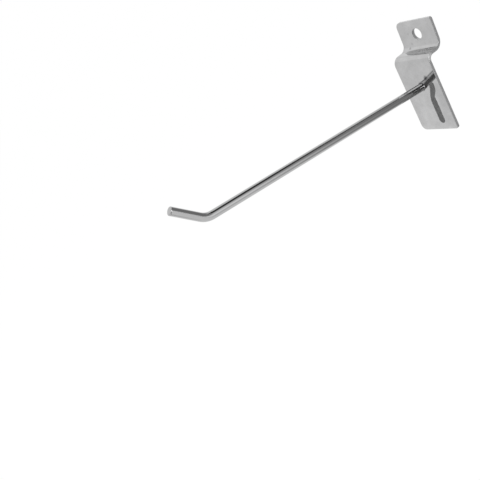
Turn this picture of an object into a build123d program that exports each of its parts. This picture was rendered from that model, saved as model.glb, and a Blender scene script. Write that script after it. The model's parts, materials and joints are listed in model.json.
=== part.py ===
from build123d import *
import os
from math import cos, radians, sin

# Slatwall hook: a sheet back plate folded into a step, with a round rod welded to its face.
# Millimetres and degrees. The origin is on the plate's back face, where it lies against the wall,
# on the centre line and level with the rod's root. +Z is up and the rod reaches out along -Y.

# Folded sheet
sheet_thickness = 1.6
plate_width = 25.0
plate_drop = 24.95  # rod's root down to the lower edge
flange_rise = 15.0  # rod's root up to the flange's underside
tab_setback = 10.25  # plate's back face to the tab's back face, along the flange's underside
tab_length = 16.3  # flange's underside up to the tab's top edge
tab_lean = 2.9  # top of the tab away from the rod
plate_bend_radius = 2.5  # inside of the bend between plate and flange
tab_bend_radius = 3.5  # inside of the bend between flange and tab
left_corner_radius = 3.0  # the strip's corners are cut rounder on its left side
right_corner_radius = 1.2
sheet_edge_radius = 0.2

# Hole in the tab
hole_diameter = 6.2
hole_drop = 7.3  # tab's top edge down to the hole's centre

# Rod
rod_diameter = 4.2
rod_rise = 6.6  # slope above level
rod_reach = 151.0  # plate's front face to the middle of the rod's end
rod_bend_radius = 10.0  # at the rod's centre line
tip_rise = 45.0  # slope above level
tip_length = 18.5  # corner of the bend to the rod's end
tip_edge_radius = 0.4

# Weld round the rod's root
weld_leg = 0.9  # height up the rod
weld_lip = 0.1  # thickness where the weld runs out on the rod
weld_sag = 0.12  # hollow of its face

seam_angle = 1.0  # faces that meet at less than this run smoothly into each other

rod_radius = rod_diameter / 2
front_plane = Plane.XZ.offset(sheet_thickness)
os.makedirs("parts", exist_ok=True)


def sharp_edges(solid):
    """The edges at which two faces of a solid meet at a corner, without those of tangent seams."""

    def is_sharp(edge):
        first, second = [face for face in solid.faces() if edge in face.edges()]
        middle = edge @ 0.5
        return first.normal_at(middle).get_angle(second.normal_at(middle)) > seam_angle

    return solid.edges().filter_by(is_sharp)


# Back plate: plate, flange and tab are one strip of sheet with two bends
tab_direction = Vector(0, sin(radians(tab_lean)), cos(radians(tab_lean)))
tab_normal = Vector(0, cos(radians(tab_lean)), -sin(radians(tab_lean)))
tab_foot = Vector(0, tab_setback, flange_rise)
tab_top = tab_foot + tab_direction * tab_length
hole_centre = tab_top - tab_direction * hole_drop - tab_normal * sheet_thickness / 2

with BuildPart() as back_plate:
    with BuildSketch(Plane.YZ) as strip_section:
        with BuildLine() as strip_back:
            FilletPolyline(
                (0, -plate_drop),
                (0, flange_rise),
                (tab_foot.Y, tab_foot.Z),
                (tab_top.Y, tab_top.Z),
                radius=[plate_bend_radius, tab_bend_radius + sheet_thickness],
            )
            offset(amount=sheet_thickness, side=Side.LEFT)
        make_face()
    extrude(amount=plate_width / 2, both=True)
    for side, corner_radius in ((0, left_corner_radius), (-1, right_corner_radius)):
        faces_upwards = back_plate.faces().sort_by(Axis.Z)
        strip_ends = ShapeList([faces_upwards[0], faces_upwards[-1]])
        corners = strip_ends.edges().filter_by(Axis.X, reverse=True).group_by(Axis.X)[side]
        fillet(corners, radius=corner_radius)
    fillet(sharp_edges(back_plate.part), radius=sheet_edge_radius)
    with Locations(Plane(origin=hole_centre, x_dir=(1, 0, 0), z_dir=tab_normal)):
        Hole(radius=hole_diameter / 2, depth=sheet_thickness)
back_plate.part.label = "back_plate"
export_step(back_plate.part, "parts/back_plate.step")

# Hook rod: a straight run that rises from the plate and a short tip bent up at its end
rod_direction = Vector(0, -cos(radians(rod_rise)), sin(radians(rod_rise)))
tip_direction = Vector(0, -cos(radians(tip_rise)), sin(radians(tip_rise)))
rod_root = Vector(0, -sheet_thickness, 0)
straight_length = (rod_reach - tip_length * cos(radians(tip_rise))) / cos(radians(rod_rise))
rod_corner = rod_root + rod_direction * straight_length
rod_end = rod_corner + tip_direction * tip_length
rod_start = rod_root - rod_direction * rod_diameter  # past the plate's face, where it is cut off

with BuildPart() as hook_rod:
    with BuildLine() as rod_line:
        FilletPolyline(rod_start, rod_corner, rod_end, radius=rod_bend_radius)
    with BuildSketch(Plane(origin=rod_start, z_dir=rod_direction)):
        Circle(rod_radius)
    sweep()
    split(bisect_by=front_plane, keep=Keep.TOP)
    rod_tip = hook_rod.faces().sort_by(Axis.Y)[0]
    fillet(rod_tip.edges(), radius=tip_edge_radius)
hook_rod.part.label = "hook_rod"
export_step(hook_rod.part, "parts/hook_rod.step")

# Weld bead: a ring with a slightly hollow face, between the rod and the plate's front
root_plane = Plane(origin=rod_root, x_dir=rod_direction.cross(Vector(1, 0, 0)), z_dir=(1, 0, 0))
bead_top = (rod_radius + weld_lip, weld_leg)
bead_foot = (rod_radius + 2 * weld_leg, -weld_leg)

with BuildPart() as weld_bead:
    with BuildSketch(root_plane) as bead_section:
        with BuildLine():
            Polyline((0, weld_leg), (0, -weld_leg), bead_foot)
            SagittaArc(bead_foot, bead_top, weld_sag)
            Line(bead_top, (0, weld_leg))
        make_face()
    revolve(axis=Axis(rod_root, rod_direction))
    split(bisect_by=front_plane, keep=Keep.TOP)
    add(hook_rod.part, mode=Mode.SUBTRACT)
weld_bead.part.label = "weld_bead"
export_step(weld_bead.part, "parts/weld_bead.step")
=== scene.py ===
import json
from math import cos, pi, radians, sin, tan

import bmesh
import bpy
from mathutils import Matrix, Vector


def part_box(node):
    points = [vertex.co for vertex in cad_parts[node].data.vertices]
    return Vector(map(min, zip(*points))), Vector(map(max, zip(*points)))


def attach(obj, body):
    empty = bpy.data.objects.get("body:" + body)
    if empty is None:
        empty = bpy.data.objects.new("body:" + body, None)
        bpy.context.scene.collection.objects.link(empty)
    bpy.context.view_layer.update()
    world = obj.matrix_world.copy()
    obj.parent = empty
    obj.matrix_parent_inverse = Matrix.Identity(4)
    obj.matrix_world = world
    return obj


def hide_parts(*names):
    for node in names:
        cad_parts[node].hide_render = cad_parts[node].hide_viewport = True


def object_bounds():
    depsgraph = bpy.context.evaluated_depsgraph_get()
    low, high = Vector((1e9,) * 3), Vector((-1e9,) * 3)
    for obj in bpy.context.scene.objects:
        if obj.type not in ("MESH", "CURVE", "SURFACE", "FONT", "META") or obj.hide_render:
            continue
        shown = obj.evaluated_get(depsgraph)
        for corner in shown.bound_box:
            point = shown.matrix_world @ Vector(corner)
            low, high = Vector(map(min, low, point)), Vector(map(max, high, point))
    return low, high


# Chromed slatwall hook: folded sheet plate, bent rod and the weld between them
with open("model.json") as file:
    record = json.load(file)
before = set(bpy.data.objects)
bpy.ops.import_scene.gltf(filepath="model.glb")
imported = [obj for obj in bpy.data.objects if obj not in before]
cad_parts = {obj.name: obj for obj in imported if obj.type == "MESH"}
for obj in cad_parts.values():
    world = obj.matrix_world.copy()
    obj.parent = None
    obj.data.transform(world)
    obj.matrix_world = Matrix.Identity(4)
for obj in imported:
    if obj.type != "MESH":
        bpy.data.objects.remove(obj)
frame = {"nodes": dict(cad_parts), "record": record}
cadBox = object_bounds()
mm = 0.001
quarterTurn = radians(90)
sharpAngle = radians(60)  # edges that turn by more than this stay crisp
plateLow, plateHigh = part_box("back_plate")
rodLow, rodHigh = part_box("hook_rod")
mounts = {mount["name"]: mount for mount in frame["record"]["mounts"]}
sheetFront = plateLow[1]  # the plate's front face, on which the rod stands
print("frame loaded:", len(frame["nodes"]), "nodes")


# node helpers
def addNode(tree, kind, **settings):
    node = tree.nodes.new(kind)
    for key, value in settings.items():
        setattr(node, key, value)
    return node


def plug(tree, source, target):
    if isinstance(source, bpy.types.NodeSocket):
        tree.links.new(source, target)
    else:
        target.default_value = source


def calc(tree, operation, first, second=0.0):
    node = addNode(tree, "ShaderNodeMath", operation=operation)
    plug(tree, first, node.inputs[0])
    plug(tree, second, node.inputs[1])
    return node.outputs[0]


def vectorCalc(tree, operation, first, second=(0, 0, 0)):
    node = addNode(tree, "ShaderNodeVectorMath", operation=operation)
    plug(tree, first, node.inputs[0])
    plug(tree, second, node.inputs["Scale"] if operation == "SCALE" else node.inputs[1])
    return node.outputs["Value"] if operation in ("DOT_PRODUCT", "DISTANCE") else node.outputs[0]


def ramp(tree, value, fromLow, fromHigh, toLow, toHigh, smooth=False):
    node = addNode(tree, "ShaderNodeMapRange", interpolation_type="SMOOTHSTEP" if smooth else "LINEAR")
    for socket, source in zip(node.inputs, (value, fromLow, fromHigh, toLow, toHigh)):
        plug(tree, source, socket)
    return node.outputs[0]


def mixValue(tree, factor, first, second):
    node = addNode(tree, "ShaderNodeMix", data_type="FLOAT")
    for index, source in ((0, factor), (2, first), (3, second)):
        plug(tree, source, node.inputs[index])
    return node.outputs[0]


def mixColour(tree, factor, first, second, blend="MIX"):
    node = addNode(tree, "ShaderNodeMix", data_type="RGBA", blend_type=blend)
    for index, source in ((0, factor), (6, first), (7, second)):
        plug(tree, source, node.inputs[index])
    return node.outputs[2]


def noise(tree, vector, scale, detail, roughness=0.5):
    node = addNode(tree, "ShaderNodeTexNoise")
    plug(tree, vector, node.inputs["Vector"])
    plug(tree, scale, node.inputs["Scale"])
    node.inputs["Detail"].default_value = detail
    node.inputs["Roughness"].default_value = roughness
    return node.outputs["Fac"]


def newGroup(name, inputs, outputs):
    group = bpy.data.node_groups.new(name, "ShaderNodeTree")
    for label, kind, value in inputs:
        socket = group.interface.new_socket(name=label, in_out="INPUT", socket_type=kind)
        socket.default_value = value
    for label in outputs:
        group.interface.new_socket(name=label, in_out="OUTPUT", socket_type="NodeSocketFloat")
    return group, addNode(group, "NodeGroupInput").outputs, addNode(group, "NodeGroupOutput").inputs


def placeGroup(tree, group, **values):
    node = addNode(tree, "ShaderNodeGroup", node_tree=group)
    for label, value in values.items():
        plug(tree, value, node.inputs[label])
    return node.outputs


# plating: cloudy tone, uneven haze, orange peel and small pits, all over the chrome
plating = {
    "cloudDetail": 5.0,
    "cloudGrain": 0.75,  # how strong the fine clouds are
    "cloudRange": (0.3, 0.7),
    "peelDetail": 2.0,
    "hazeFiner": 6.0,  # times as fine as the orange peel
    "hazeDetail": 3.0,
    "hazeGrain": 0.6,
    "hazeRange": (0.35, 0.7),
    "pitless": 0.86,  # share of the cells that hold no pit
    "pitDepth": 1.5,  # times the height of the orange peel
}


def makePlatingSkin():
    group, given, result = newGroup(
        "platingSkin",
        (
            ("cloudScale", "NodeSocketFloat", 150.0),
            ("cloudDepth", "NodeSocketFloat", 0.05),
            ("hazeLow", "NodeSocketFloat", 0.04),
            ("hazeHigh", "NodeSocketFloat", 0.1),
            ("peelScale", "NodeSocketFloat", 250.0),
            ("peelHeight", "NodeSocketFloat", 0.000002),
            ("pitScale", "NodeSocketFloat", 600.0),
            ("pitSize", "NodeSocketFloat", 0.1),
            ("grain", "NodeSocketVector", (1.0, 1.0, 1.0)),
        ),
        ("tone", "haze", "height", "pits"),
    )
    spot = addNode(group, "ShaderNodeTexCoord").outputs["Object"]
    along = vectorCalc(group, "MULTIPLY", spot, given["grain"])
    clouds = noise(group, spot, given["cloudScale"], plating["cloudDetail"], plating["cloudGrain"])
    streaks = noise(group, along, given["peelScale"], plating["peelDetail"])
    hazeScale = calc(group, "MULTIPLY", given["peelScale"], plating["hazeFiner"])
    fine = noise(group, along, hazeScale, plating["hazeDetail"], plating["hazeGrain"])
    deep = calc(group, "SUBTRACT", 1.0, given["cloudDepth"])
    plug(group, ramp(group, clouds, *plating["cloudRange"], deep, 1.0), result["tone"])
    haze = ramp(group, fine, *plating["hazeRange"], given["hazeLow"], given["hazeHigh"])
    plug(group, haze, result["haze"])
    cells = addNode(group, "ShaderNodeTexVoronoi", feature="F1")
    plug(group, spot, cells.inputs["Vector"])
    plug(group, given["pitScale"], cells.inputs["Scale"])
    dice = addNode(group, "ShaderNodeSeparateColor")
    plug(group, cells.outputs["Color"], dice.inputs[0])
    few = calc(group, "GREATER_THAN", dice.outputs[0], plating["pitless"])
    pit = ramp(group, cells.outputs["Distance"], 0.0, given["pitSize"], 1.0, 0.0, smooth=True)
    pits = calc(group, "MULTIPLY", pit, few)
    peel = calc(group, "MULTIPLY", streaks, given["peelHeight"])
    pitDepth = calc(group, "MULTIPLY", given["peelHeight"], plating["pitDepth"])
    dent = calc(group, "MULTIPLY", pits, pitDepth)
    plug(group, calc(group, "SUBTRACT", peel, dent), result["height"])
    plug(group, pits, result["pits"])
    return group


# one stretch of a mark: how near a point is to the line from start to end, with an uneven outline
def makeMarkStretch():
    group, given, result = newGroup(
        "markStretch",
        (
            ("start", "NodeSocketVector", (0.0, 0.0, 0.0)),
            ("end", "NodeSocketVector", (0.0, 0.0, 0.01)),
            ("startWidth", "NodeSocketFloat", 0.003),
            ("endWidth", "NodeSocketFloat", 0.003),
            ("softness", "NodeSocketFloat", 0.0002),
            ("waverScale", "NodeSocketFloat", 700.0),
            ("waver", "NodeSocketVector", (0.0006, 0.0, 0.0006)),
        ),
        ("mask",),
    )
    spot = addNode(group, "ShaderNodeTexCoord").outputs["Object"]
    drift = addNode(group, "ShaderNodeTexNoise")
    plug(group, spot, drift.inputs["Vector"])
    plug(group, given["waverScale"], drift.inputs["Scale"])
    noiseMiddle = (0.5, 0.5, 0.5)
    shift = vectorCalc(group, "SUBTRACT", drift.outputs["Color"], noiseMiddle)
    spot = vectorCalc(group, "ADD", spot, vectorCalc(group, "MULTIPLY", shift, given["waver"]))
    fromStart = vectorCalc(group, "SUBTRACT", spot, given["start"])
    stretch = vectorCalc(group, "SUBTRACT", given["end"], given["start"])
    share = calc(
        group,
        "DIVIDE",
        vectorCalc(group, "DOT_PRODUCT", fromStart, stretch),
        vectorCalc(group, "DOT_PRODUCT", stretch, stretch),
    )
    share = ramp(group, share, 0.0, 1.0, 0.0, 1.0)
    onLine = vectorCalc(group, "SCALE", stretch, share)
    gap = vectorCalc(group, "DISTANCE", fromStart, onLine)
    width = mixValue(group, share, given["startWidth"], given["endWidth"])
    half = calc(group, "DIVIDE", width, 2.0)
    outer = calc(group, "ADD", half, given["softness"])
    inner = calc(group, "SUBTRACT", half, given["softness"])
    plug(group, ramp(group, gap, inner, outer, 1.0, 0.0, smooth=True), result["mask"])
    return group


platingSkin = makePlatingSkin()
markStretch = makeMarkStretch()

plateFinish = {
    "skin": {"cloudScale": 110.0, "cloudDepth": 0.2, "hazeLow": 0.05, "hazeHigh": 0.11,
             "peelScale": 220.0, "peelHeight": 0.0000015, "pitScale": 420.0, "pitSize": 0.12},
    "colour": (0.51, 0.51, 0.512, 1.0),
    "pitColour": (0.3, 0.3, 0.3, 1.0),
    "edgeColour": (0.57, 0.57, 0.575, 1.0),  # sheared edge, plated over a rougher cut
    "edgeRoughness": 0.36,
    "edgeMetal": 0.5,
    "bendHighlightColour": (0.82, 0.82, 0.82, 1.0),  # painted highlight: the edge is made pale where it goes over the plate's bend, where it catches the light
    "bendHighlightMetal": 0.1,
    "bendHighlightRoughness": 0.6,
    # marks lie on the front face and fade out behind it, at these shares of its depth
    "frontFade": (0.98, 0.9),
    "waver": 0.6 * mm,  # how far their outlines stray
    "waverScale": 700.0,
    # dull grey band from beside the weld down the plate: place across, height and width of each knee
    "run": ((8.1, 1.15, 1.9), (7.0, 0.55, 2.9), (7.2, -0.3, 3.5), (6.6, -2.2, 3.4), (4.7, -5.6, 2.8),
            (4.3, -8.2, 3.7), (4.15, -19.4, 3.75)),
    "runDark": (0.165, 0.165, 0.165, 1.0),
    "runPale": (0.235, 0.235, 0.235, 1.0),
    "runMottle": 900.0,
    "mottleDetail": 2.0,
    "mottleRange": (0.35, 0.65),
    "runRoughness": 0.6,
    "runMetal": 0.1,
    "runSoftness": 0.18 * mm,
    # painted shade: the plate's right side beside the band is darkened where its reflection is darker
    "paintedRightShade": ((10.6, -0.5, 5.0), (10.2, -21.0, 7.0)),
    "paintedRightShadeTone": 0.89,
    "paintedRightShadeSoftness": 1.6 * mm,
    # dull specks on the tab: place, size and tone
    "specks": (
        ((-7.3, 7.8, 17.5), 2.0, 0.66),
        ((-5.8, 8.78, 19.5), 2.2, 0.83),
        ((-6.0, 9.07, 24.8), 1.8, 0.85),
    ),
    "speckCore": 0.1,  # share of the size that has the full tone
    "speckReach": 0.5,
    # weld marks round the root, each with its softness: a heat mark beside it, and painted shade under and
    # over it where the rod meets the plate
    "heatMarkAndShade": (
        # heat mark of the weld beside the root
        (((6.9, 4.6, 0.0), (5.5, 5.1, 1.5), (5.0, 4.3, 1.8)), 0.75 * mm),
        # painted shade under the root, at the rod's lower end
        (((2.3, -0.8, 0.8), (3.4, 0.1, 1.0)), 0.3 * mm),
        # painted shadow line over the root, along the weld's top
        (((-1.2, 2.2, 0.1), (0.4, 2.75, 0.3), (2.4, 3.3, 0.25), (4.4, 4.0, 0.25)), 0.22 * mm),
    ),
    "heatMarkAndShadeColour": (0.12, 0.12, 0.125, 1.0),
}


def newMaterial(name):
    material = bpy.data.materials.new(name)
    material.use_nodes = True
    tree = material.node_tree
    shader = tree.nodes["Principled BSDF"]
    shader.inputs["Metallic"].default_value = 1.0
    return material, tree, shader


def addBump(tree, shader, height):
    bump = addNode(tree, "ShaderNodeBump")
    bump.inputs["Distance"].default_value = 1.0
    plug(tree, height, bump.inputs["Height"])
    plug(tree, bump.outputs["Normal"], shader.inputs["Normal"])


def markAlong(tree, knees, softness):
    waver = plateFinish["waver"]
    mask = None
    for (x, z, width), (nextX, nextZ, nextWidth) in zip(knees, knees[1:]):
        stretch = placeGroup(
            tree, markStretch,
            start=(x * mm, sheetFront, z * mm), end=(nextX * mm, sheetFront, nextZ * mm),
            startWidth=width * mm, endWidth=nextWidth * mm, softness=softness,
            waverScale=plateFinish["waverScale"], waver=(waver, 0.0, waver),
        )["mask"]
        mask = stretch if mask is None else calc(tree, "MAXIMUM", mask, stretch)
    return mask


def makePlateChrome():
    material, tree, shader = newMaterial("plateChrome")
    skin = placeGroup(tree, platingSkin, **plateFinish["skin"])
    coords = addNode(tree, "ShaderNodeTexCoord").outputs["Object"]
    spot = addNode(tree, "ShaderNodeSeparateXYZ")
    plug(tree, coords, spot.inputs[0])
    fadeStart, fadeEnd = (sheetFront * share for share in plateFinish["frontFade"])
    onFront = ramp(tree, spot.outputs["Y"], fadeStart, fadeEnd, 1.0, 0.0)
    edge = addNode(tree, "ShaderNodeAttribute", attribute_name="shearedEdge").outputs["Fac"]
    # mask of the painted highlight on the front edge over the plate's bend
    bendHighlight = addNode(tree, "ShaderNodeAttribute", attribute_name="paintedBendHighlight").outputs["Fac"]
    run = calc(tree, "MULTIPLY", markAlong(tree, plateFinish["run"], plateFinish["runSoftness"]), onFront)
    colour = mixColour(tree, 1.0, plateFinish["colour"], skin["tone"], "MULTIPLY")
    colour = mixColour(tree, skin["pits"], colour, plateFinish["pitColour"])
    for place, size, tone in plateFinish["specks"]:
        away = vectorCalc(tree, "DISTANCE", coords, Vector(place) * mm)
        core, reach = (plateFinish[key] * size * mm for key in ("speckCore", "speckReach"))
        speck = ramp(tree, away, core, reach, tone, 1.0, smooth=True)
        colour = mixColour(tree, 1.0, colour, speck, "MULTIPLY")
    # painted shade on the plate's right side
    paintedRightShade = calc(tree, "MULTIPLY", markAlong(tree, plateFinish["paintedRightShade"], plateFinish["paintedRightShadeSoftness"]), onFront)
    paintedRightShadeTone = ramp(tree, paintedRightShade, 0.0, 1.0, 1.0, plateFinish["paintedRightShadeTone"])
    colour = mixColour(tree, 1.0, colour, paintedRightShadeTone, "MULTIPLY")
    colour = mixColour(tree, edge, colour, plateFinish["edgeColour"])
    # painted highlight on the edge over the plate's bend
    colour = mixColour(tree, bendHighlight, colour, plateFinish["bendHighlightColour"])
    # heat mark and painted shade round the weld
    for knees, softness in plateFinish["heatMarkAndShade"]:
        heatMarkAndShade = calc(tree, "MULTIPLY", markAlong(tree, knees, softness), onFront)
        colour = mixColour(tree, heatMarkAndShade, colour, plateFinish["heatMarkAndShadeColour"])
    grains = noise(tree, coords, plateFinish["runMottle"], plateFinish["mottleDetail"])
    mottle = ramp(tree, grains, *plateFinish["mottleRange"], 0.0, 1.0)
    runColour = mixColour(tree, mottle, plateFinish["runDark"], plateFinish["runPale"])
    colour = mixColour(tree, run, colour, runColour)
    plug(tree, colour, shader.inputs["Base Color"])
    rough = mixValue(tree, edge, skin["haze"], plateFinish["edgeRoughness"])
    rough = mixValue(tree, bendHighlight, rough, plateFinish["bendHighlightRoughness"])
    rough = mixValue(tree, run, rough, plateFinish["runRoughness"])
    plug(tree, rough, shader.inputs["Roughness"])
    metal = mixValue(tree, edge, 1.0, plateFinish["edgeMetal"])
    metal = mixValue(tree, bendHighlight, metal, plateFinish["bendHighlightMetal"])
    plug(tree, mixValue(tree, run, metal, plateFinish["runMetal"]), shader.inputs["Metallic"])
    addBump(tree, shader, skin["height"])
    return material


rodFinish = {
    "skin": {"cloudScale": 120.0, "cloudDepth": 0.06, "hazeLow": 0.04, "hazeHigh": 0.09,
             "peelScale": 900.0, "peelHeight": 0.0000004, "pitScale": 500.0, "pitSize": 0.1,
             "grain": (1.0, 0.03, 1.0)},  # draw lines along the wire
    "colour": (0.475, 0.475, 0.477, 1.0),
    "pitColour": (0.28, 0.28, 0.28, 1.0),
}
weldFinish = {
    "skin": {"cloudScale": 900.0, "cloudDepth": 0.25, "hazeLow": 0.08, "hazeHigh": 0.22,
             "peelScale": 1500.0, "peelHeight": 0.00001, "pitScale": 2500.0, "pitSize": 0.3},
    "colour": (0.17, 0.17, 0.172, 1.0),  # burnt by the weld under the plating
    "pitColour": (0.08, 0.08, 0.08, 1.0),
}


def makePlainChrome(name, finish):
    material, tree, shader = newMaterial(name)
    skin = placeGroup(tree, platingSkin, **finish["skin"])
    colour = mixColour(tree, 1.0, finish["colour"], skin["tone"], "MULTIPLY")
    plug(tree, mixColour(tree, skin["pits"], colour, finish["pitColour"]), shader.inputs["Base Color"])
    plug(tree, skin["haze"], shader.inputs["Roughness"])
    addBump(tree, shader, skin["height"])
    return material


plateChrome = makePlateChrome()
rodChrome = makePlainChrome("rodChrome", rodFinish)
weldChrome = makePlainChrome("weldChrome", weldFinish)
print("finishes made")


def finishPiece(name, mesh, material, node):
    if not mesh.materials:
        mesh.materials.append(material)
    piece = bpy.data.objects.new(name, mesh)
    bpy.context.scene.collection.objects.link(piece)
    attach(piece, "root")
    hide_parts(node)
    print(name, "has", len(mesh.polygons), "faces")


# folded plate: a strip that runs up the plate, back along the flange and up the tab
plate = {
    "width": plateHigh[0] - plateLow[0],
    "thickness": -plateLow[1],
    "drop": -plateLow[2],  # rod's root to the lower edge
    "flangeRise": 15.0 * mm,  # rod's root to the flange's underside
    "tabSetback": 10.25 * mm,
    "tabLength": 16.3 * mm,
    "tabLean": radians(2.9),
    "plateBend": 2.5 * mm,  # inside radii
    "tabBend": 3.5 * mm,
    "leftCorner": 3.0 * mm,
    "rightCorner": 1.2 * mm,
    "edgeRound": 0.2 * mm,
    "bendRound": 0.9 * mm,  # front edge in the middle of the plate bend, right side
    "holeRadius": mounts["tab_hole"]["dims"]["r_mm"] * mm,
    "holeDrop": 7.3 * mm,  # tab's top edge to the hole's centre
    "holeRound": 0.12 * mm,
    "holeTaper": 0.22 * mm,  # a punched hole is narrower at the back
    "webTop": 0.12 * mm,  # the flange was drawn thinner between its bends
    "webUnder": 0.25 * mm,
    "cutFade": 4,  # power by which the cut's finish fades out over its rounding
    "bendSteps": 32,
    "cornerSteps": 14,
    "holeSteps": 96,
    "roundSteps": 5,
}


def stripAxes(place):
    turn = place[2]
    return Vector((0, sin(turn), cos(turn))), Vector((0, -cos(turn), sin(turn)))  # along, towards the front


def stripPoint(place, along, across, depth):
    tangent, front = stripAxes(place)
    share = depth / plate["thickness"]  # 0 on the front face, 1 on the back
    thinner = (plate["webUnder"] * share - plate["webTop"] * (1 - share)) * place[3]
    back = Vector((across, place[0], place[1] + thinner))
    return back + tangent * along + front * (plate["thickness"] - depth)


# places on the strip's back line, each with its y, z, lean and share of the thinning: foot, bends, tab
def stripPlaces():
    steps = plate["bendSteps"]
    tabTurn = quarterTurn - plate["tabLean"]
    outerBend = plate["tabBend"] + plate["thickness"]
    foot = (0.0, -plate["drop"], 0.0, 0.0)
    centreZ = plate["flangeRise"] - plate["plateBend"]
    rows = []
    for step in range(steps + 1):
        turn = quarterTurn * step / steps
        y = plate["plateBend"] * (1 - cos(turn))
        z = centreZ + plate["plateBend"] * sin(turn)
        rows.append((y, z, turn, 1.0))
    tabStart = plate["tabSetback"] - outerBend * tan(tabTurn / 2)
    for step in range(steps + 1):
        turn = quarterTurn - tabTurn * step / steps
        y = tabStart + outerBend * cos(turn)
        z = plate["flangeRise"] + outerBend * (1 - sin(turn))
        rows.append((y, z, turn, 1.0))
    tab = rows[-1][:3] + (0.0,)
    return foot, rows, tab, plate["tabLength"] - outerBend * tan(tabTurn / 2)


def makeFoldedPlate():
    foot, rows, tab, tabFlat = stripPlaces()
    half = plate["width"] / 2
    edge = plate["edgeRound"]
    points, normals, faces = [], [], []
    # marks on each vertex: the sheared edge, and the painted highlight on the edge over the plate's bend
    marks = {"shearedEdge": [], "paintedBendHighlight": []}

    def addVertex(place, along, across, depth, normal, cut=0.0, paintedHighlight=0.0):
        points.append(stripPoint(place, along, across, depth))
        normals.append(normal)
        marks["shearedEdge"].append(cut)
        marks["paintedBendHighlight"].append(paintedHighlight)
        return len(points) - 1

    # rim from the front face round the cut edge to the back face, for one spot of an outline
    def addRim(place, along, across, outAlong, outAcross, rounding, frontRounding=None, taper=0.0, bendHighlight=0.0):
        tangent, front = stripAxes(place)
        out = tangent * outAlong + Vector((outAcross, 0, 0))
        column = []
        for side in (1, -1):
            curve = frontRounding if frontRounding and side > 0 else rounding
            narrow = taper if side < 0 else 0.0
            for step in range(plate["roundSteps"] + 1):
                bend = quarterTurn * step / plate["roundSteps"]
                if side < 0:
                    bend = quarterTurn - bend
                reach = curve * sin(bend) + rounding - curve + narrow
                sink = curve * (1 - cos(bend))
                depth = sink if side > 0 else plate["thickness"] - sink
                normal = out * sin(bend) + front * (cos(bend) * side)
                # the last mark is the painted highlight, strongest where the rounding faces sideways
                column.append(addVertex(place, along + outAlong * reach, across + outAcross * reach,
                                        depth, normal, sin(bend) ** plate["cutFade"], bendHighlight * sin(bend)))
        return column

    def addCorner(place, along, across, radius, firstTurn):
        columns = []
        for step in range(plate["cornerSteps"] + 1):
            turn = firstTurn + quarterTurn * step / plate["cornerSteps"]
            columns.append(addRim(place, along + (radius - edge) * sin(turn),
                                  across + (radius - edge) * cos(turn), sin(turn), cos(turn), edge))
        return columns

    right, left = plate["rightCorner"], plate["leftCorner"]
    lowerRight = addCorner(foot, right, half - right, right, -quarterTurn)
    rightSide = []
    for index, place in enumerate(rows):
        # share along the plate bend, highest in its middle: it rounds the right front edge more there and
        # sets how strongly a highlight is painted on that edge
        bendHighlight = sin(pi * index / plate["bendSteps"]) if index < plate["bendSteps"] else 0.0
        softer = edge + (plate["bendRound"] - edge) * bendHighlight
        rightSide.append(addRim(place, 0, half - edge, 0, 1, edge, softer, bendHighlight=bendHighlight))
    upperRight = addCorner(tab, tabFlat - right, half - right, right, 0)
    topMiddle = [addRim(tab, tabFlat - edge, 0, 1, 0, edge)]
    upperLeft = addCorner(tab, tabFlat - left, left - half, left, quarterTurn)
    leftSide = [addRim(place, 0, edge - half, 0, -1, edge) for place in rows]
    lowerLeft = addCorner(foot, left, left - half, left, 2 * quarterTurn)
    outline = lowerRight + rightSide + upperRight + topMiddle + upperLeft + leftSide[::-1] + lowerLeft

    # the hole's outline runs the other way round, from its top
    holeAlong = tabFlat - plate["holeDrop"]
    mouth = plate["holeRadius"] + plate["holeRound"]
    hole = []
    for step in range(plate["holeSteps"]):
        turn = quarterTurn - 2 * pi * step / plate["holeSteps"]
        hole.append(addRim(tab, holeAlong + mouth * sin(turn), mouth * cos(turn),
                           -sin(turn), -cos(turn), plate["holeRound"], taper=plate["holeTaper"]))

    for loop in (outline, hole):
        for column, following in zip(loop, loop[1:] + loop[:1]):
            for level in range(len(column) - 1):
                faces.append((column[level], column[level + 1], following[level + 1], following[level]))

    # front and back skins, parted along the middle line so that the hole is open
    for level, depth, side in ((0, 0.0, 1), (-1, plate["thickness"], -1)):
        skin = []
        middle = [addVertex(place, 0, 0, depth, stripAxes(place)[1] * side) for place in rows]
        rightEdge = [column[level] for column in rightSide]
        leftEdge = [column[level] for column in leftSide]
        ring = [column[level] for column in hole]
        lower = [column[level] for column in lowerLeft + lowerRight]
        skin.append(lower + [rightEdge[0], middle[0], leftEdge[0]])
        for row in range(len(rows) - 1):
            skin.append([middle[row], rightEdge[row], rightEdge[row + 1], middle[row + 1]])
            skin.append([leftEdge[row], middle[row], middle[row + 1], leftEdge[row + 1]])
        turnOver = plate["holeSteps"] // 2
        rightTop = [column[level] for column in upperRight + topMiddle]
        leftTop = [column[level] for column in topMiddle + upperLeft]
        skin.append([middle[-1], rightEdge[-1]] + rightTop + ring[:turnOver + 1])
        skin.append(leftTop + [leftEdge[-1], middle[-1]] + ring[turnOver:] + ring[:1])
        faces.extend(face if side > 0 else face[::-1] for face in skin)

    mesh = bpy.data.meshes.new("foldedPlate")
    mesh.from_pydata(points, [], faces)
    for mark, values in marks.items():
        mesh.attributes.new(mark, "FLOAT", "POINT").data.foreach_set("value", values)
    mesh.shade_smooth()
    mesh.normals_split_custom_set_from_vertices(normals)
    finishPiece("foldedPlate", mesh, plateChrome, "back_plate")


makeFoldedPlate()

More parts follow.
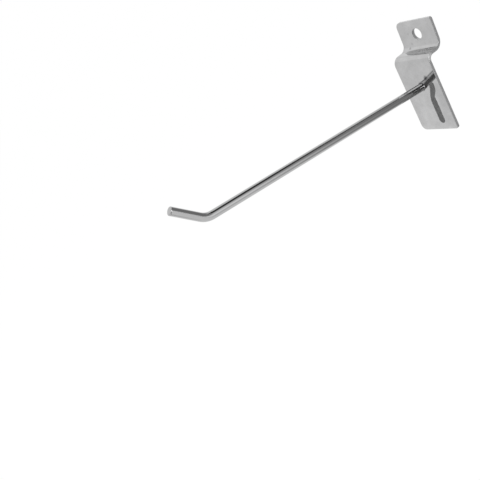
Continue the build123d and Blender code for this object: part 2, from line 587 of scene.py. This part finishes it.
# rod: straight wire that rises from the plate, with its tip bent up
rod = {
    "radius": (rodHigh[0] - rodLow[0]) / 2,
    "rise": radians(6.6),
    "reach": 151.0 * mm,  # plate's front to the middle of the rod's end
    "bendRadius": 10.0 * mm,  # at the centre line
    "tipRise": radians(45),
    "tipLength": 18.5 * mm,  # corner of the bend to the end
    "tipRound": 0.4 * mm,
    "tipSteps": 6,
    "bendSteps": 48,
    "ringSpacing": 0.6 * mm,
    "sides": 80,
}
rodRoot = Vector((0, sheetFront, 0))
rodAxis = Vector((0, -cos(rod["rise"]), sin(rod["rise"])))
tipAxis = Vector((0, -cos(rod["tipRise"]), sin(rod["tipRise"])))
straightLength = (rod["reach"] - rod["tipLength"] * cos(rod["tipRise"])) / cos(rod["rise"])
rodCorner = rodRoot + rodAxis * straightLength
rodEnd = rodCorner + tipAxis * rod["tipLength"]


# the tree rounds the corner of a centre line and sweeps the wire's circle along it
def makeWireSweep():
    tree = bpy.data.node_groups.new("wireSweep", "GeometryNodeTree")
    sockets = {}
    for label, kind in (
        ("Geometry", "NodeSocketGeometry"),
        ("Wire Radius", "NodeSocketFloat"),
        ("Bend Radius", "NodeSocketFloat"),
        ("Bend Steps", "NodeSocketInt"),
        ("Ring Spacing", "NodeSocketFloat"),
        ("Sides", "NodeSocketInt"),
        ("Material", "NodeSocketMaterial"),
    ):
        sockets[label] = tree.interface.new_socket(name=label, in_out="INPUT", socket_type=kind).identifier
    tree.interface.new_socket(name="Geometry", in_out="OUTPUT", socket_type="NodeSocketGeometry")
    given = addNode(tree, "NodeGroupInput").outputs
    line = addNode(tree, "GeometryNodeMeshToCurve")
    rounded = addNode(tree, "GeometryNodeFilletCurve", mode="POLY")
    rings = addNode(tree, "GeometryNodeResampleCurve", mode="LENGTH")
    circle = addNode(tree, "GeometryNodeCurvePrimitiveCircle")
    swept = addNode(tree, "GeometryNodeCurveToMesh")
    smooth = addNode(tree, "GeometryNodeSetShadeSmooth")
    real = addNode(tree, "GeometryNodeRealizeInstances")
    coated = addNode(tree, "GeometryNodeSetMaterial")
    swept.inputs["Fill Caps"].default_value = True
    for source, target in (
        (given["Geometry"], line.inputs["Mesh"]),
        (line.outputs[0], rounded.inputs["Curve"]),
        (given["Bend Steps"], rounded.inputs["Count"]),
        (given["Bend Radius"], rounded.inputs["Radius"]),
        (rounded.outputs[0], rings.inputs["Curve"]),
        (given["Ring Spacing"], rings.inputs["Length"]),
        (given["Sides"], circle.inputs["Resolution"]),
        (given["Wire Radius"], circle.inputs["Radius"]),
        (rings.outputs[0], swept.inputs["Curve"]),
        (circle.outputs[0], swept.inputs["Profile Curve"]),
        (swept.outputs[0], smooth.inputs["Geometry"]),
        (smooth.outputs[0], real.inputs["Geometry"]),
        (real.outputs[0], coated.inputs["Geometry"]),
        (given["Material"], coated.inputs["Material"]),
        (coated.outputs[0], addNode(tree, "NodeGroupOutput").inputs[0]),
    ):
        tree.links.new(source, target)
    return tree, sockets


def makeHookRod():
    guide = bpy.data.meshes.new("rodGuide")
    guide.from_pydata([rodRoot, rodCorner, rodEnd], [(0, 1), (1, 2)], [])
    guideObject = bpy.data.objects.new("rodGuide", guide)
    bpy.context.scene.collection.objects.link(guideObject)
    tree, sockets = makeWireSweep()
    modifier = guideObject.modifiers.new("wireSweep", "NODES")
    modifier.node_group = tree
    for label, value in (
        ("Wire Radius", rod["radius"]),
        ("Bend Radius", rod["bendRadius"]),
        ("Bend Steps", rod["bendSteps"]),
        ("Ring Spacing", rod["ringSpacing"]),
        ("Sides", rod["sides"]),
        ("Material", rodChrome),
    ):
        modifier[sockets[label]] = value
    depsgraph = bpy.context.evaluated_depsgraph_get()
    mesh = bpy.data.meshes.new_from_object(guideObject.evaluated_get(depsgraph))
    bpy.data.objects.remove(guideObject)
    mesh.name = "hookRod"

    # the root is cut flush with the plate's face and the tip's edge is rounded
    shape = bmesh.new()
    shape.from_mesh(mesh)
    bmesh.ops.recalc_face_normals(shape, faces=shape.faces)
    # the two end faces are the only ones with more than four corners
    ends = sorted((face for face in shape.faces if len(face.verts) > 4),
                  key=lambda face: face.calc_center_median().y)
    for corner in ends[-1].verts:
        corner.co += rodAxis * ((sheetFront - corner.co.y) / rodAxis.y)
    bmesh.ops.bevel(shape, geom=ends[0].edges, offset=rod["tipRound"], segments=rod["tipSteps"],
                    profile=0.5, affect="EDGES")
    shape.to_mesh(mesh)
    shape.free()
    mesh.shade_smooth()
    mesh.set_sharp_from_angle(angle=sharpAngle)
    finishPiece("hookRod", mesh, rodChrome, "hook_rod")


makeHookRod()

# weld: a hollow fillet round the rod's root, slightly uneven
weld = {
    "climb": 0.45 * mm,  # up the rod
    "spread": 0.18 * mm,  # out on the plate
    "hollow": 0.1,  # 0 for a straight face
    "waves": ((3, 0.05, 0.4), (7, 0.04, 1.9), (16, 0.03, 0.8)),  # count round the rod, share, phase
    "turns": 144,
    "steps": 14,
}


def makeWeldRing():
    rightward = Vector((1, 0, 0))
    upward = rightward.cross(rodAxis)
    points, faces = [], []
    for turn in range(weld["turns"]):
        angle = 2 * pi * turn / weld["turns"]
        outward = rightward * cos(angle) + upward * sin(angle)
        uneven = 1 + sum(share * sin(count * angle + phase) for count, share, phase in weld["waves"])

        def onPlate(radius):
            spot = rodRoot + outward * radius
            return spot + rodAxis * ((sheetFront - spot.y) / rodAxis.y)

        heel = onPlate(rod["radius"])
        toe = onPlate(rod["radius"] + weld["spread"] * uneven)
        top = heel + rodAxis * (weld["climb"] * uneven)
        belly = heel * weld["hollow"] + (top + toe) * ((1 - weld["hollow"]) / 2)
        points.append(heel)
        for step in range(weld["steps"] + 1):
            share = step / weld["steps"]
            points.append(top * (1 - share) ** 2 + belly * (2 * share * (1 - share)) + toe * share ** 2)
    column = weld["steps"] + 2
    for turn in range(weld["turns"]):
        here = turn * column
        there = (turn + 1) % weld["turns"] * column
        for step in range(column):
            following = (step + 1) % column
            faces.append((here + step, here + following, there + following, there + step))
    mesh = bpy.data.meshes.new("weldRing")
    mesh.from_pydata(points, [], faces)
    shape = bmesh.new()
    shape.from_mesh(mesh)
    bmesh.ops.recalc_face_normals(shape, faces=shape.faces)
    shape.to_mesh(mesh)
    shape.free()
    mesh.shade_smooth()
    mesh.set_sharp_from_angle(angle=sharpAngle)
    finishPiece("weldRing", mesh, weldChrome, "weld_bead")


makeWeldRing()

# studio: white surround, soft lamps, and cards that the chrome reflects
studio = {
    "ambient": 0.65,  # surround as seen by matt surfaces
    "floorHeight": -600 * mm,
    "floorSize": 12.0,
    "floorColour": (0.25, 0.25, 0.25, 1.0),
    "floorLift": 0.838,
}
softboxes = (
    # name, azimuth, elevation, distance, width, height, brightness
    ("overheadSoftbox", 330, 78, 0.9, 0.7, 0.7, 1.3),
    ("keySoftbox", 345, 45, 0.9, 0.3, 0.3, 2.0),
)
cards = (
    # name, azimuth, elevation, distance, width, height, roll, tone, feather
    ("wallCard", 166, 11, 0.80, 1.89, 1.37, 3, 0.31, 0.44),
    ("topCard", 119, 57, 0.75, 1.48, 0.85, 3, 0.03, 0.36),
    ("lowCard", 162, -17, 0.55, 1.25, 1.46, -22, 0.27, 0.50),
    ("slimCard", 181, 59, 0.80, 0.21, 0.33, 60, 0.05, 0.07),
    ("cameraCard", 42, 3, 1.00, 0.95, 1.83, 19, 0.22, 0.07),
    ("lowCameraCard", 25, -51, 0.62, 0.90, 0.37, 33, 0.18, 0.23),
    ("leftCard", 317, 28, 0.92, 0.21, 0.72, 0, 0.06, 0.05),
    ("rootShade", 40, 24, 0.80, 0.18, 0.40, 31, 0.02, 0.06),
    ("keyGlow", 3, 49, 0.85, 0.60, 0.58, -10, 1.85, 0.15),
    ("sideGlow", 272, 40, 0.85, 0.75, 0.40, 8, 1.13, 0.15),
    ("lowGlow", 304, -27, 0.80, 0.34, 0.30, 0, 1.18, 0.14),
    ("bandGlow", 109, -1, 0.70, 0.22, 0.24, 0, 1.35, 0.10),
    ("bandShade", 111, -34, 0.70, 0.22, 0.22, 0, 0.72, 0.09),
    ("frontLamp", 52, 6, 0.65, 0.06, 0.06, 0, 6.00, 0.02),
    ("sideLamp", 91, 5, 0.65, 0.14, 0.14, 0, 16.0, 0.03),
)
middle = (Vector(cadBox[0]) + Vector(cadBox[1])) / 2


def aimAt(place, target, roll=0.0):
    look = (target - place).to_track_quat("-Z", "Y").to_matrix().to_4x4()
    return Matrix.Translation(place) @ look @ Matrix.Rotation(roll, 4, "Z")


def around(azimuth, elevation, distance):
    turn, climb = radians(azimuth), radians(elevation)
    return middle + Vector((sin(turn) * cos(climb), -cos(turn) * cos(climb), sin(climb))) * distance


def seenByCameraOrGloss(tree):
    ray = addNode(tree, "ShaderNodeLightPath").outputs
    seen = calc(tree, "MAXIMUM", ray["Is Camera Ray"], ray["Is Glossy Ray"])
    return calc(tree, "MAXIMUM", seen, ray["Is Transmission Ray"])


def makeSurround():
    world = bpy.data.worlds.new("whiteSurround")
    world.use_nodes = True
    tree = world.node_tree
    background = tree.nodes["Background"]
    background.inputs["Color"].default_value = (1, 1, 1, 1)
    strength = ramp(tree, seenByCameraOrGloss(tree), 0.0, 1.0, studio["ambient"], 1.0)
    plug(tree, strength, background.inputs["Strength"])
    bpy.context.scene.world = world


def newStageMaterial(name):
    material = bpy.data.materials.new(name)
    material.use_nodes = True
    tree = material.node_tree
    tree.nodes.remove(tree.nodes["Principled BSDF"])
    return material, tree, tree.nodes["Material Output"].inputs["Surface"]


def makeFlatSheet(name, width, height, material):
    x, y = width / 2, height / 2
    mesh = bpy.data.meshes.new(name)
    mesh.from_pydata([(-x, -y, 0), (x, -y, 0), (x, y, 0), (-x, y, 0)], [], [(0, 1, 2, 3)])
    mesh.materials.append(material)
    sheet = bpy.data.objects.new(name, mesh)
    bpy.context.scene.collection.objects.link(sheet)
    return sheet


def makeFloor():
    material, tree, surface = newStageMaterial("floorPaper")
    paper = addNode(tree, "ShaderNodeBsdfDiffuse")
    paper.inputs["Color"].default_value = studio["floorColour"]
    lift = addNode(tree, "ShaderNodeEmission")
    strength = calc(tree, "MULTIPLY", seenByCameraOrGloss(tree), studio["floorLift"])
    plug(tree, strength, lift.inputs["Strength"])
    both = addNode(tree, "ShaderNodeAddShader")
    plug(tree, paper.outputs[0], both.inputs[0])
    plug(tree, lift.outputs[0], both.inputs[1])
    plug(tree, both.outputs[0], surface)
    floor = makeFlatSheet("floor", studio["floorSize"], studio["floorSize"], material)
    floor.location.z = studio["floorHeight"]


def makeSoftbox(name, azimuth, elevation, distance, width, height, brightness):
    lamp = bpy.data.lights.new(name, "AREA")
    lamp.shape = "RECTANGLE"
    lamp.size = width
    lamp.size_y = height
    lamp.energy = brightness * pi * width * height
    softbox = bpy.data.objects.new(name, lamp)
    softbox.matrix_world = aimAt(around(azimuth, elevation, distance), middle)
    softbox.visible_glossy = False  # the cards stand for it in reflections
    bpy.context.scene.collection.objects.link(softbox)


# a card has soft edges, through which the surround shows
def makeCard(name, azimuth, elevation, distance, width, height, roll, tone, feather):
    material, tree, surface = newStageMaterial(name)
    spot = addNode(tree, "ShaderNodeSeparateXYZ")
    plug(tree, addNode(tree, "ShaderNodeTexCoord").outputs["Object"], spot.inputs[0])
    sides = []
    for axis, size in (("X", width), ("Y", height)):
        inward = calc(tree, "SUBTRACT", size / 2, calc(tree, "ABSOLUTE", spot.outputs[axis]))
        sides.append(ramp(tree, inward, 0.0, feather, 0.0, 1.0, smooth=True))
    cloth = addNode(tree, "ShaderNodeEmission")
    cloth.inputs["Strength"].default_value = tone
    soft = addNode(tree, "ShaderNodeMixShader")
    plug(tree, calc(tree, "MULTIPLY", *sides), soft.inputs[0])
    plug(tree, addNode(tree, "ShaderNodeBsdfTransparent").outputs[0], soft.inputs[1])
    plug(tree, cloth.outputs[0], soft.inputs[2])
    plug(tree, soft.outputs[0], surface)
    card = makeFlatSheet(name, width, height, material)
    card.matrix_world = aimAt(around(azimuth, elevation, distance), middle, radians(roll))
    card.visible_camera = False
    card.visible_diffuse = False
    card.visible_shadow = False


makeSurround()
makeFloor()
for softbox in softboxes:
    makeSoftbox(*softbox)
for card in cards:
    makeCard(*card)
print("studio set up")

# camera of the photograph
camera = {
    "place": Vector((315.84, -267.94, 132.38)) * mm,
    "target": Vector((0.0, -130.9, -2.07)) * mm,
    "roll": radians(-30.2),
    "lens": 61.67,
    "sensorWidth": 36.0,
    "clipStart": 10 * mm,
}


def makeCamera():
    lens = bpy.data.cameras.new("photoCamera")
    lens.lens = camera["lens"]
    lens.sensor_width = camera["sensorWidth"]
    lens.clip_start = camera["clipStart"]
    photoCamera = bpy.data.objects.new("photoCamera", lens)
    photoCamera.matrix_world = aimAt(camera["place"], camera["target"], camera["roll"])
    bpy.context.scene.collection.objects.link(photoCamera)
    bpy.context.scene.camera = photoCamera


makeCamera()
bpy.context.scene.view_settings.view_transform = "Standard"
print("camera placed")
